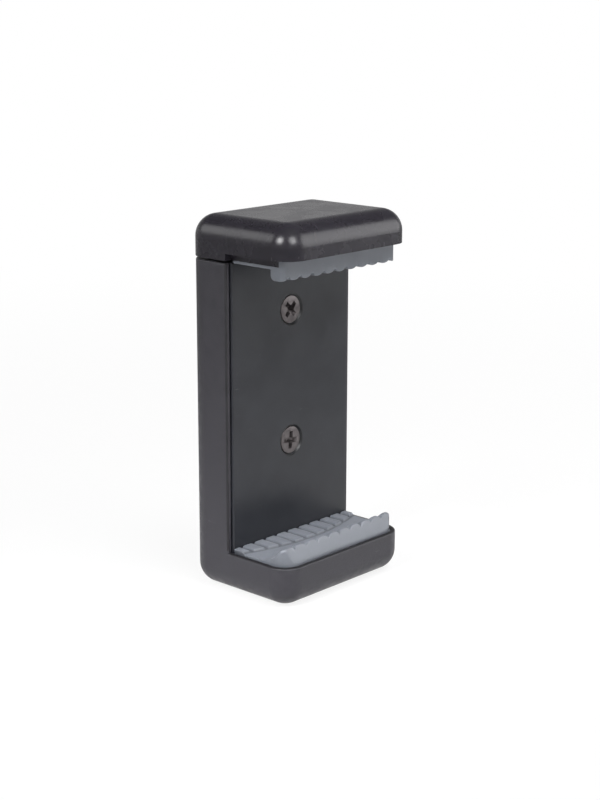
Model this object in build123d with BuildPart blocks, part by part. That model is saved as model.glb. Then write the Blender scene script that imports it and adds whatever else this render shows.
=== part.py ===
"""Tripod adapter that clamps a phone: a hollow spine with a fixed lower jaw and a sprung sliding upper jaw.

Millimetres, +Z up. The origin is the mouth of the tripod thread, in the middle of the underside.
+X is to the right and -Y is towards the phone. The jaws are drawn closed, at the bottom of the slide's travel.
"""

import os

from build123d import *

os.makedirs("parts", exist_ok=True)

# Outer form with the jaws closed
WIDTH = 39.0
DEPTH = 29.0
HEIGHT = 82.0
CORNER_RADIUS = 5.0
EDGE_RADIUS = 4.8
EDGE_BREAK = 0.4

# Rear body
SPINE_DEPTH = 11.8
JAW_HEIGHT = 9.2
WALL = 2.0
RIM_WALL = 0.95
RIB_THICKNESS = 1.2
PAD_RIB_X = 11.5
CHANNEL_CORNER_RADIUS = 1.5
RAIL_THICKNESS = 1.8

# Sliding jaw and its travel
TRAVEL = 29.0
CAP_HEIGHT = 7.4
CAP_SIDE_OVERHANG = 0.1
CAP_FRONT_OVERHANG = 0.5
CAP_WALL = 2.2
CAP_GAP = 0.5
PLINTH_HEIGHT = 1.5
PLINTH_WALL = 1.5
SLIDE_CLEARANCE = 0.2
SLIDE_SKIN = 1.6
SLIDE_RIB = 1.5
SLIDE_FOOT_Z = 17.0
SLIDE_FOOT_HEIGHT = 6.3
SLIDE_FOOT_DEPTH = 5.0

# Front plate and its two screws
PLATE_THICKNESS = 2.4
PLATE_PROUD = 0.5
PLATE_GAP = 0.3
PLATE_EDGE_BREAK = 0.25
UPPER_SCREW_BELOW_TOP = 12.4
LOWER_SCREW_ABOVE_SEAT = 22.85
SCREW_HOLE_RADIUS = 1.6
COUNTERSINK_RADIUS = 3.5
SCREW_HEAD_RADIUS = 3.05
SCREW_HEAD_LAND = 0.2
SCREW_SHANK_RADIUS = 1.45
SCREW_CORE_RADIUS = 1.25
SCREW_LENGTH = 8.0
SCREW_TIP_LENGTH = 1.2
SCREW_TIP_RADIUS = 0.3
RECESS_SPAN = 3.6
RECESS_SLOT = 0.9
RECESS_DEPTH = 1.3
RECESS_TAPER = 12.0
BOSS_RADIUS = 3.2
BOSS_CLEARANCE = 0.3
PILOT_MARGIN = 0.6

# Rubber pads
TOOTH_COUNT = 10
PAD_FIT = 0.1
PAD_BACK_GAP = 0.1
LIP_SETBACK = 2.5
LIP_EDGE_RADIUS = 0.3
UPPER_PAD_INSET = 1.7
UPPER_PAD_CORNER_RADIUS = 1.1
UPPER_PAD_SKIN = 0.6
UPPER_PAD_PLUG = 1.0
UPPER_PAD_WRAP = 0.8
UPPER_LIP_DROP = 2.25
UPPER_LIP_THICKNESS = 3.4
UPPER_LIP_BACK_RADIUS = 1.2
UPPER_TOOTH_RISE = 0.65
UPPER_TOOTH_FILL = 0.8
LOWER_PAD_THICKNESS = 1.6
LOWER_PAD_PROUD = 0.35
LOWER_PAD_GROOVE = 0.4
LOWER_PAD_FLANGE = 0.9
LOWER_LIP_RISE = 3.55
LOWER_LIP_THICKNESS = 0.8
LOWER_LIP_SWEEP = 5.7
LOWER_TOOTH_RISE = 1.05
BACK_RIB_FILL = 0.86
BACK_RIB_RISE = 0.55
BACK_RIB_SLOPE = 60
BACK_RIB_LENGTH = 6.2
BACK_RIB_FRONT_RADIUS = 50.0
BACK_RIB_FRONT_TAPER = 50

# Springs and the posts that hold their hooks
SPRING_RADIUS = 2.4
WIRE_RADIUS = 0.3
SPRING_TURNS = 10
LOWER_POST_Z = 13.5
UPPER_POST_BELOW_SCREW = 19.2
POST_RADIUS = 1.2
POST_LENGTH = 5.4
HOOK_CLEARANCE = 0.1
HOOK_REACH = 2.2
HOOK_ARC = 260
POCKET_TOP_MARGIN = 2.5

# Tripod thread insert
THREAD_MINOR_RADIUS = 2.55
THREAD_LEAD_IN = 0.4
INSERT_RADIUS = 4.75
INSERT_LENGTH = 6.4
INSERT_WAIST_DEPTH = 0.5
INSERT_WAIST_WIDTH = 1.4
INSERT_BOSS_WALL = 1.6

# Places worked out from the sizes above
back_y = DEPTH / 2
front_y = -DEPTH / 2
spine_front_y = back_y - SPINE_DEPTH
cap_underside_z = HEIGHT - CAP_HEIGHT
plinth_z = cap_underside_z - PLINTH_HEIGHT
spine_top_z = plinth_z - CAP_GAP
pad_seat_z = JAW_HEIGHT + LOWER_PAD_PROUD - LOWER_PAD_THICKNESS
lower_pad_top_z = JAW_HEIGHT + LOWER_PAD_PROUD
plate_front_y = spine_front_y - PLATE_PROUD
plate_back_y = plate_front_y + PLATE_THICKNESS
pad_back_y = plate_front_y - PAD_BACK_GAP
lip_front_y = front_y + LIP_SETBACK
upper_pad_half_width = WIDTH / 2 - UPPER_PAD_INSET
tooth_pitch = 2 * upper_pad_half_width / TOOTH_COUNT
places_on_pitch = [index * tooth_pitch - upper_pad_half_width for index in range(TOOTH_COUNT + 1)]
places_between = [place + tooth_pitch / 2 for place in places_on_pitch[:-1]]
channel_back_y = back_y - WALL
channel_half_width = WIDTH / 2 - WALL
rail_half_width = channel_half_width - RAIL_THICKNESS
rail_z = SLIDE_FOOT_Z + SLIDE_FOOT_HEIGHT + TRAVEL
slide_half_width = rail_half_width - SLIDE_CLEARANCE
slide_front_y = plate_back_y + SLIDE_CLEARANCE
slide_back_y = channel_back_y - SLIDE_CLEARANCE
slide_skin_y = slide_front_y + SLIDE_SKIN
slot_half_width = BOSS_RADIUS + BOSS_CLEARANCE
rib_inner_x = slot_half_width + SLIDE_RIB
rib_outer_x = slide_half_width - SLIDE_RIB
cap_ceiling_z = HEIGHT - CAP_WALL
upper_screw_z = spine_top_z - UPPER_SCREW_BELOW_TOP
lower_screw_z = pad_seat_z + LOWER_SCREW_ABOVE_SEAT
screw_places = [(0, lower_screw_z), (0, upper_screw_z)]
spring_x = (rib_inner_x + rib_outer_x) / 2
spring_y = (slide_skin_y + channel_back_y) / 2
upper_post_z = upper_screw_z - UPPER_POST_BELOW_SCREW


def facing_front(y):
    """Plane across the part at depth y, seen from the phone's side: local x is X and local y is Z."""
    return Plane(origin=(0, y, 0), x_dir=(1, 0, 0), z_dir=(0, -1, 0))


def facing_side(x):
    """Plane along the part at x, seen from the right: local x is Y and local y is Z."""
    return Plane(origin=(x, 0, 0), x_dir=(0, 1, 0), z_dir=(1, 0, 0))


def span(low, high, mode=Mode.ADD):
    """Rectangle between two opposite corners, in the sketch that is open."""
    with Locations(((low[0] + high[0]) / 2, (low[1] + high[1]) / 2)):
        Rectangle(high[0] - low[0], high[1] - low[1], mode=mode)


def rounded_outline(inset):
    """Plan of the body's outside, moved inwards by inset, in the sketch that is open."""
    RectangleRounded(WIDTH - 2 * inset, DEPTH - 2 * inset, CORNER_RADIUS - inset)


# Rear body: spine and fixed lower jaw in one hollow moulding
with BuildPart() as jaw_hollow:
    with BuildSketch(Plane.XY.offset(WALL)):
        rounded_outline(WALL)
        span((-WIDTH / 2, spine_front_y), (WIDTH / 2, back_y), mode=Mode.SUBTRACT)
    extrude(amount=pad_seat_z - WALL)
    fillet(jaw_hollow.faces().sort_by(Axis.Z)[0].edges(), EDGE_RADIUS - WALL)

with BuildPart() as spine_channel:
    with BuildSketch(Plane.XY.offset(WALL)) as channel_plan:
        span((-channel_half_width, plate_back_y), (channel_half_width, channel_back_y))
        fillet(channel_plan.vertices().group_by(Axis.Y)[-1], CHANNEL_CORNER_RADIUS)
    extrude(amount=rail_z - WALL)
    with BuildSketch(Plane.XY.offset(rail_z)):
        span((-rail_half_width, plate_back_y), (rail_half_width, channel_back_y))
    extrude(amount=spine_top_z - rail_z)

with BuildPart() as rear_body:
    with BuildSketch(Plane.XY):
        rounded_outline(0)
    extrude(amount=JAW_HEIGHT)
    with BuildSketch(Plane.XY.offset(JAW_HEIGHT)):
        rounded_outline(0)
        span((-WIDTH / 2, front_y), (WIDTH / 2, spine_front_y), mode=Mode.SUBTRACT)
    extrude(amount=spine_top_z - JAW_HEIGHT)
    fillet(rear_body.faces().sort_by(Axis.Z)[0].edges(), EDGE_RADIUS)
    jaw_rim = rear_body.faces().filter_by(Axis.Z).filter_by_position(Axis.Z, JAW_HEIGHT, JAW_HEIGHT)
    spine_face = rear_body.faces().filter_by(Axis.Y).sort_by(Axis.Y)[1]
    spine_top = rear_body.faces().sort_by(Axis.Z)[-1]
    fillet(
        jaw_rim.edges().sort_by(Axis.Y)[:-1]
        + spine_face.edges().filter_by(Axis.Z)
        + spine_top.edges().sort_by(Axis.Y)[1:],
        EDGE_BREAK,
    )
    # Recess for the lower pad, running on up the spine as the rebate of the front plate
    with BuildSketch(Plane.XY.offset(pad_seat_z)):
        rounded_outline(RIM_WALL)
        span((-WIDTH / 2, plate_back_y), (WIDTH / 2, back_y), mode=Mode.SUBTRACT)
    extrude(amount=spine_top_z - pad_seat_z, mode=Mode.SUBTRACT)
    add(jaw_hollow.part, mode=Mode.SUBTRACT)
    add(spine_channel.part, mode=Mode.SUBTRACT)
    # Ribs and thread boss under the lower pad
    with BuildSketch(Plane.XY.offset(WALL)):
        span((-channel_half_width, -RIB_THICKNESS / 2), (channel_half_width, RIB_THICKNESS / 2))
        for rib_x in (-PAD_RIB_X, 0, PAD_RIB_X):
            span((rib_x - RIB_THICKNESS / 2, front_y + WALL), (rib_x + RIB_THICKNESS / 2, spine_front_y))
        Circle(INSERT_RADIUS + INSERT_BOSS_WALL)
    extrude(amount=pad_seat_z - WALL)
    with BuildSketch(Plane.XY):
        Circle(INSERT_RADIUS)
    extrude(amount=INSERT_LENGTH, mode=Mode.SUBTRACT)
    # Bosses that carry the front plate and take its screws
    with BuildSketch(facing_front(channel_back_y)):
        with Locations(*screw_places):
            Circle(BOSS_RADIUS)
    extrude(amount=channel_back_y - plate_back_y)
    with BuildSketch(facing_front(plate_back_y)):
        with Locations(*screw_places):
            Circle(SCREW_CORE_RADIUS)
    extrude(amount=-(SCREW_LENGTH - PLATE_THICKNESS + PILOT_MARGIN), mode=Mode.SUBTRACT)
    # Posts for the lower hooks of the springs
    with BuildSketch(facing_front(channel_back_y)):
        with Locations((-spring_x, LOWER_POST_Z), (spring_x, LOWER_POST_Z)):
            Circle(POST_RADIUS)
    extrude(amount=POST_LENGTH)

rear_body.part.label = "rear_body"
export_step(rear_body.part, "parts/rear_body.step")


# Front plate: closes the spine and stands a little proud between the rims of its side walls
with BuildPart() as front_plate:
    plate_half_width = WIDTH / 2 - RIM_WALL - PLATE_GAP
    with BuildSketch(facing_front(plate_back_y)):
        span((-plate_half_width, pad_seat_z), (plate_half_width, spine_top_z))
    extrude(amount=PLATE_THICKNESS)
    chamfer(front_plate.faces().sort_by(Axis.Y)[0].edges(), PLATE_EDGE_BREAK)
    with Locations(facing_front(plate_front_y)):
        with Locations(*screw_places):
            CounterSinkHole(SCREW_HOLE_RADIUS, COUNTERSINK_RADIUS, counter_sink_angle=90)

front_plate.part.label = "front_plate"
export_step(front_plate.part, "parts/front_plate.step")


def make_screw(height, recess_turn):
    """Countersunk self-tapping screw at a height on the plate, its cross recess turned by recess_turn degrees."""
    head_depth = COUNTERSINK_RADIUS - SCREW_HEAD_RADIUS - SCREW_HEAD_LAND
    cone_depth = COUNTERSINK_RADIUS - SCREW_SHANK_RADIUS
    shank_end = PLATE_THICKNESS
    with BuildPart() as screw:
        with BuildSketch(Plane.XY):
            with BuildLine():
                Polyline(
                    (0, -head_depth),
                    (SCREW_HEAD_RADIUS, -head_depth),
                    (SCREW_HEAD_RADIUS, -head_depth - SCREW_HEAD_LAND),
                    (SCREW_SHANK_RADIUS, -cone_depth),
                    (SCREW_SHANK_RADIUS, -shank_end),
                    (SCREW_CORE_RADIUS, -shank_end),
                    (SCREW_CORE_RADIUS, -SCREW_LENGTH + SCREW_TIP_LENGTH),
                    (SCREW_TIP_RADIUS, -SCREW_LENGTH),
                    (0, -SCREW_LENGTH),
                    close=True,
                )
            make_face()
        revolve(axis=Axis.Y)
        top_plane = Plane(origin=(0, -head_depth, 0), x_dir=(1, 0, 0), z_dir=(0, -1, 0))
        with BuildSketch(top_plane):
            Rectangle(RECESS_SPAN, RECESS_SLOT, rotation=recess_turn)
            Rectangle(RECESS_SLOT, RECESS_SPAN, rotation=recess_turn)
        extrude(amount=RECESS_DEPTH, taper=RECESS_TAPER, mode=Mode.SUBTRACT)
    return Location((0, plate_front_y, height)) * (Rotation(180, 0, 0) * screw.part)


for screw_name, screw_z, turn in (("front_screw_upper", upper_screw_z, 45), ("front_screw_lower", lower_screw_z, 6)):
    front_screw = make_screw(screw_z, turn)
    front_screw.label = screw_name
    export_step(front_screw, f"parts/{screw_name}.step")


# Tripod insert: knurled sleeve pressed into the boss, drawn with the bore at the thread's minor radius
with BuildPart() as tripod_insert:
    with BuildSketch(Plane.XY):
        Circle(INSERT_RADIUS)
        Circle(THREAD_MINOR_RADIUS, mode=Mode.SUBTRACT)
    extrude(amount=INSERT_LENGTH)
    bore_mouth = tripod_insert.faces().sort_by(Axis.Z)[0].edges().sort_by(SortBy.LENGTH)[0]
    chamfer(bore_mouth, THREAD_LEAD_IN)
    with BuildSketch(Plane.XY.offset((INSERT_LENGTH - INSERT_WAIST_WIDTH) / 2)):
        Circle(INSERT_RADIUS)
        Circle(INSERT_RADIUS - INSERT_WAIST_DEPTH, mode=Mode.SUBTRACT)
    extrude(amount=INSERT_WAIST_WIDTH, mode=Mode.SUBTRACT)

tripod_insert.part.label = "tripod_insert"
export_step(tripod_insert.part, "parts/tripod_insert.step")


# Upper jaw: rounded cap and ribbed slide in one moulding
with BuildPart() as upper_jaw:
    cap_width = WIDTH + 2 * CAP_SIDE_OVERHANG
    cap_depth = DEPTH + CAP_FRONT_OVERHANG
    plinth_half_width = upper_pad_half_width - PAD_FIT
    plinth_front_y = lip_front_y + UPPER_PAD_WRAP
    with BuildSketch(Plane.XY.offset(cap_underside_z)):
        with Locations((0, -CAP_FRONT_OVERHANG / 2)):
            RectangleRounded(cap_width, cap_depth, CORNER_RADIUS)
    extrude(amount=CAP_HEIGHT)
    fillet(upper_jaw.faces().sort_by(Axis.Z)[-1].edges(), EDGE_RADIUS)
    # Skirt over the spine and plinth behind the upper pad
    with BuildSketch(Plane.XY.offset(plinth_z)) as step_plan:
        with Locations((0, -CAP_FRONT_OVERHANG / 2)):
            RectangleRounded(cap_width, cap_depth, CORNER_RADIUS)
        span((-WIDTH, -DEPTH), (WIDTH, spine_front_y), mode=Mode.SUBTRACT)
        span((-plinth_half_width, plinth_front_y), (plinth_half_width, spine_front_y))
        fillet(step_plan.vertices().group_by(Axis.Y)[0], UPPER_PAD_CORNER_RADIUS - UPPER_PAD_WRAP)
    extrude(amount=PLINTH_HEIGHT)
    # Pocket closed by the upper pad
    pocket_half_width = upper_pad_half_width - PLINTH_WALL
    pocket_front_y = plinth_front_y + PLINTH_WALL
    pocket_back_y = spine_front_y - PLINTH_WALL
    with BuildSketch(Plane.XY.offset(plinth_z)):
        span((-pocket_half_width, pocket_front_y), (pocket_half_width, pocket_back_y))
    extrude(amount=cap_ceiling_z - plinth_z, mode=Mode.SUBTRACT)
    # Slide: plate with feet that stop under the rails
    with BuildSketch(facing_front(slide_back_y)):
        span((-slide_half_width, SLIDE_FOOT_Z), (slide_half_width, cap_underside_z))
    extrude(amount=slide_back_y - slide_front_y)
    foot_half_width = channel_half_width - SLIDE_CLEARANCE
    with BuildSketch(facing_front(slide_front_y)):
        span((-foot_half_width, SLIDE_FOOT_Z), (foot_half_width, SLIDE_FOOT_Z + SLIDE_FOOT_HEIGHT))
    extrude(amount=-SLIDE_FOOT_DEPTH)
    # Pockets from behind: two for the springs, two above them and one over the slot
    spring_pocket_z = upper_post_z + POCKET_TOP_MARGIN
    slot_pocket_z = upper_screw_z + slot_half_width + SLIDE_RIB
    with BuildSketch(facing_front(slide_back_y)):
        for low_x, high_x in ((-rib_outer_x, -rib_inner_x), (rib_inner_x, rib_outer_x)):
            span((low_x, SLIDE_FOOT_Z), (high_x, spring_pocket_z))
            span((low_x, spring_pocket_z + SLIDE_RIB), (high_x, cap_ceiling_z))
        span((-slot_half_width, slot_pocket_z), (slot_half_width, cap_ceiling_z))
    extrude(amount=slide_back_y - slide_skin_y, mode=Mode.SUBTRACT)
    # Slot that passes the screw bosses and rests on the upper one
    with BuildSketch(facing_front(slide_back_y)):
        span((-slot_half_width, SLIDE_FOOT_Z), (slot_half_width, upper_screw_z))
        with Locations((0, upper_screw_z)):
            Circle(slot_half_width)
    extrude(amount=slide_back_y - slide_front_y, mode=Mode.SUBTRACT)
    # Posts for the upper hooks of the springs
    with BuildSketch(facing_front(slide_skin_y)):
        with Locations((-spring_x, upper_post_z), (spring_x, upper_post_z)):
            Circle(POST_RADIUS)
    extrude(amount=-POST_LENGTH)

upper_jaw.part.label = "upper_jaw"
export_step(upper_jaw.part, "parts/upper_jaw.step")


def tooth_gaps(edge_z, rise, tooth_places, tooth_width):
    """What the comb loses between its rounded teeth, in the open sketch; rise is signed, towards the tips."""
    span((-WIDTH / 2, edge_z - rise), (WIDTH / 2, edge_z))
    with Locations(*[(place, edge_z - rise) for place in tooth_places]):
        Ellipse(tooth_width / 2, abs(rise), mode=Mode.SUBTRACT)


# Upper pad: plug in the cap's pocket, skin over the plinth and a toothed lip that wraps its front
with BuildPart() as upper_pad:
    lip_edge_z = plinth_z - UPPER_PAD_SKIN - UPPER_LIP_DROP
    lip_back_y = lip_front_y + UPPER_LIP_THICKNESS
    with BuildSketch(facing_side(-upper_pad_half_width)) as lip_profile:
        span((lip_front_y, lip_edge_z), (lip_back_y, cap_underside_z))
        fillet(lip_profile.vertices().group_by(Axis.Y)[0].sort_by(Axis.X)[0], LIP_EDGE_RADIUS)
        fillet(lip_profile.vertices().group_by(Axis.Y)[0].sort_by(Axis.X)[-1], UPPER_LIP_BACK_RADIUS)
    extrude(amount=2 * upper_pad_half_width)
    with BuildSketch(Plane.XY.offset(lip_edge_z)) as lip_plan:
        span((-upper_pad_half_width, lip_front_y), (upper_pad_half_width, lip_back_y))
        fillet(lip_plan.vertices().group_by(Axis.Y)[0], UPPER_PAD_CORNER_RADIUS)
    extrude(amount=cap_underside_z - lip_edge_z, mode=Mode.INTERSECT)
    with BuildSketch(Plane.XY.offset(plinth_z - UPPER_PAD_SKIN)):
        span(
            (-upper_pad_half_width, lip_front_y + UPPER_PAD_CORNER_RADIUS),
            (upper_pad_half_width, pad_back_y),
        )
    extrude(amount=UPPER_PAD_SKIN)
    with BuildSketch(Plane.XY.offset(plinth_z)) as plinth_room:
        span((-WIDTH / 2, plinth_front_y), (WIDTH / 2, spine_front_y))
        fillet(plinth_room.vertices().group_by(Axis.Y)[0], UPPER_PAD_CORNER_RADIUS - UPPER_PAD_WRAP)
    extrude(amount=PLINTH_HEIGHT, mode=Mode.SUBTRACT)
    with BuildSketch(Plane.XY.offset(plinth_z)):
        span(
            (PAD_FIT - pocket_half_width, pocket_front_y + PAD_FIT),
            (pocket_half_width - PAD_FIT, pocket_back_y - PAD_FIT),
        )
    extrude(amount=UPPER_PAD_PLUG)
    with BuildSketch(facing_front(lip_front_y)):
        tooth_gaps(lip_edge_z, -UPPER_TOOTH_RISE, places_on_pitch, tooth_pitch * UPPER_TOOTH_FILL)
    extrude(amount=-UPPER_LIP_THICKNESS, mode=Mode.SUBTRACT)

upper_pad.part.label = "upper_pad"
export_step(upper_pad.part, "parts/upper_pad.step")


# Ribs across the back of the lower pad: their front ends slope down along a wide arc
with BuildPart() as back_ribs:
    with BuildSketch(facing_front(pad_back_y)):
        with Locations(*[(place, lower_pad_top_z) for place in places_on_pitch]):
            Trapezoid(
                tooth_pitch * BACK_RIB_FILL, BACK_RIB_RISE, BACK_RIB_SLOPE, align=(Align.CENTER, Align.MIN)
            )
    extrude(amount=BACK_RIB_LENGTH)
    with BuildSketch(Plane.XY.offset(lower_pad_top_z)):
        Rectangle(2 * WIDTH, DEPTH)
        with Locations((0, pad_back_y - BACK_RIB_LENGTH + BACK_RIB_FRONT_RADIUS)):
            Circle(BACK_RIB_FRONT_RADIUS, mode=Mode.INTERSECT)
    extrude(amount=BACK_RIB_RISE, taper=BACK_RIB_FRONT_TAPER, mode=Mode.INTERSECT)
    with BuildSketch(Plane.XY.offset(lower_pad_top_z)):
        rounded_outline(RIM_WALL + LOWER_PAD_GROOVE)
    extrude(amount=BACK_RIB_RISE, mode=Mode.INTERSECT)


# Lower pad: flange in the rim's recess, and above it a seat that sweeps up into a thin toothed lip
with BuildPart() as lower_pad:
    lip_edge_z = lower_pad_top_z + LOWER_LIP_RISE
    lip_back_y = lip_front_y + LOWER_LIP_THICKNESS
    sweep_start_y = lip_back_y + LOWER_LIP_SWEEP
    seat_front_y = front_y + RIM_WALL + LOWER_PAD_GROOVE
    flange_top_z = pad_seat_z + LOWER_PAD_FLANGE
    with BuildSketch(facing_side(-WIDTH / 2)) as seat_profile:
        with BuildLine():
            Polyline(
                (lip_back_y, lip_edge_z),
                (lip_front_y, lip_edge_z),
                (seat_front_y, lower_pad_top_z),
                (seat_front_y, flange_top_z),
                (pad_back_y, flange_top_z),
                (pad_back_y, lower_pad_top_z),
                (sweep_start_y, lower_pad_top_z),
            )
            TangentArc((sweep_start_y, lower_pad_top_z), (lip_back_y, lip_edge_z), tangent=(-1, 0))
        make_face()
        fillet(seat_profile.vertices().group_by(Axis.Y)[-1], LIP_EDGE_RADIUS)
    extrude(amount=WIDTH)
    with BuildSketch(Plane.XY.offset(flange_top_z)):
        rounded_outline(RIM_WALL + LOWER_PAD_GROOVE)
    extrude(amount=lip_edge_z - flange_top_z, mode=Mode.INTERSECT)
    with BuildSketch(Plane.XY.offset(pad_seat_z)):
        rounded_outline(RIM_WALL + PAD_FIT)
        span((-WIDTH / 2, pad_back_y), (WIDTH / 2, back_y), mode=Mode.SUBTRACT)
    extrude(amount=LOWER_PAD_FLANGE)
    add(back_ribs.part)
    with BuildSketch(facing_front(seat_front_y)):
        tooth_gaps(lip_edge_z, LOWER_TOOTH_RISE, places_between, tooth_pitch)
    extrude(amount=seat_front_y - sweep_start_y, mode=Mode.SUBTRACT)

lower_pad.part.label = "lower_pad"
export_step(lower_pad.part, "parts/lower_pad.step")


def make_spring(x):
    """Extension spring at x: one wire with a hook round each post, drawn at its length with the jaws closed."""
    coil_radius = SPRING_RADIUS - WIRE_RADIUS
    hook_radius = POST_RADIUS + HOOK_CLEARANCE + WIRE_RADIUS
    coil_low_z = LOWER_POST_Z + HOOK_REACH
    coil_height = upper_post_z - HOOK_REACH - coil_low_z

    def on_hook(post_z, angle):
        return Vector(x, spring_y, post_z) + Vector(hook_radius, 0, 0).rotate(Axis.Y, -angle)

    with BuildPart() as spring:
        with BuildLine() as spring_wire:
            coil = Helix(coil_height / SPRING_TURNS, coil_height, coil_radius, center=(x, spring_y, coil_low_z))
            lower_hook = ThreePointArc(*[on_hook(LOWER_POST_Z, angle) for angle in (-HOOK_ARC, -HOOK_ARC / 2, 0)])
            upper_hook = ThreePointArc(*[on_hook(upper_post_z, angle) for angle in (0, HOOK_ARC / 2, HOOK_ARC)])
            Spline(lower_hook @ 1, coil @ 0, tangents=(lower_hook % 1, coil % 0))
            Spline(coil @ 1, upper_hook @ 0, tangents=(coil % 1, upper_hook % 0))
        with BuildSketch(Plane(origin=lower_hook @ 0, z_dir=lower_hook % 0)):
            Circle(WIRE_RADIUS)
        sweep(path=spring_wire.line)
    return spring.part


for spring_name, spring_side in (("spring_left", -spring_x), ("spring_right", spring_x)):
    spring_part = make_spring(spring_side)
    spring_part.label = spring_name
    export_step(spring_part, f"parts/{spring_name}.step")
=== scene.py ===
"""Dresses the sprung phone clamp: plastics, rubber pads, screws, springs and the tripod thread.

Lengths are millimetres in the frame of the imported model: +Z up, -Y towards the phone, origin in
the mouth of the tripod thread. Meshes are scaled to metres as they are made. Only the places and
sizes of the camera and the lamps are written in metres.
"""

import logging
import math
from dataclasses import dataclass, field
from enum import Enum
from typing import Sequence

import bmesh
import bpy
from mathutils import Matrix, Vector


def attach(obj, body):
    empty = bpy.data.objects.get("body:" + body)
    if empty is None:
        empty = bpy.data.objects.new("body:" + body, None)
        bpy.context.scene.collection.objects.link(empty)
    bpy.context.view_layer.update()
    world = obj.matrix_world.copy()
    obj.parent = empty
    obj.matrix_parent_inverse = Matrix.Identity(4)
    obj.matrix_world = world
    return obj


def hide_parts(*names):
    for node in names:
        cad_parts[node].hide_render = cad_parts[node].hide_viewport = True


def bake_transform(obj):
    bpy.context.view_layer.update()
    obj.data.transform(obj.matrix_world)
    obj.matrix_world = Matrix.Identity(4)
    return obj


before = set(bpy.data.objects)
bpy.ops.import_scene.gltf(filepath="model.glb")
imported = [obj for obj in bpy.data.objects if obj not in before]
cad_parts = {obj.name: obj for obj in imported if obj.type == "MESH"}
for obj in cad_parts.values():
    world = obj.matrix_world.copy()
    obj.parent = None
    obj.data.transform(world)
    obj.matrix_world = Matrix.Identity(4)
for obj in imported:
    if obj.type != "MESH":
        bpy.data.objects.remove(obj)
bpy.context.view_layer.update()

MM = 0.001
WELD_M = 1e-7
SHEET_COLUMNS = 8
SHEET_STEP = (220, 260)
SCREW_HEIGHTS = (60.2, 30.8)
LOG = logging.getLogger("phone_clamp")

Point = tuple[float, float]
Span = tuple[float, float]
Triple = tuple[float, float, float]
Colour = tuple[float, float, float, float]
Object = bpy.types.Object
Material = bpy.types.Material
Node = bpy.types.Node
Socket = bpy.types.NodeSocket
Sockets = bpy.types.bpy_prop_collection
Tree = bpy.types.NodeTree

WHITE: Colour = (1, 1, 1, 1)


class Body(Enum):
    """Bodies of the part that a piece can ride on."""

    BODY = "body"
    JAW = "jaw"


class Slot(Enum):
    """Material slots of the record that new pieces take their finish from."""

    PAD = "pad_rubber"
    SCREW = "screw_steel"
    INSERT = "insert_brass"
    SPRING = "spring_steel"


# --- node helpers


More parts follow.
